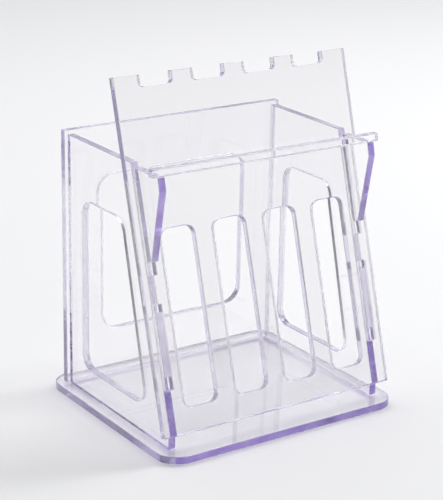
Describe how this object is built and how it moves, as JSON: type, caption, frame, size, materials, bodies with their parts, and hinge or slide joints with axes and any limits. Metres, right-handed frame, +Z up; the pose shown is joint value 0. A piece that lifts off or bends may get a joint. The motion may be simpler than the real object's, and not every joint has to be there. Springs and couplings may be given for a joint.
{
  "type": "dice tower",
  "caption": "Open-topped clear acrylic dice tower: windowed box on a rounded base, with a leaning battlement front plate of tall slots that hooks over the side panels, and a crossbar.",
  "frame": {"origin": "centre of the footprint on the underside of the base plate", "axes": "+Z up, front plate and crossbar towards -Y, +X to the right seen from the front"},
  "size_m": [0.176, 0.15, 0.2237],
  "materials": {
    "clear_acrylic": "polished clear cast acrylic sheet with violet-tinted cut edges"
  },
  "bodies": {
    "box": {"base_plate": "clear_acrylic", "back_panel": "clear_acrylic", "left_side_panel": "clear_acrylic", "right_side_panel": "clear_acrylic", "crossbar": "clear_acrylic"},
    "front": {"front_plate": "clear_acrylic"}
  },
  "joints": [
    {"name": "front_plate_lift", "type": "slide", "parent": "box", "child": "front", "axis": [0, 0.279, 0.9603], "range_m": [0, 0.008]}
  ]
}
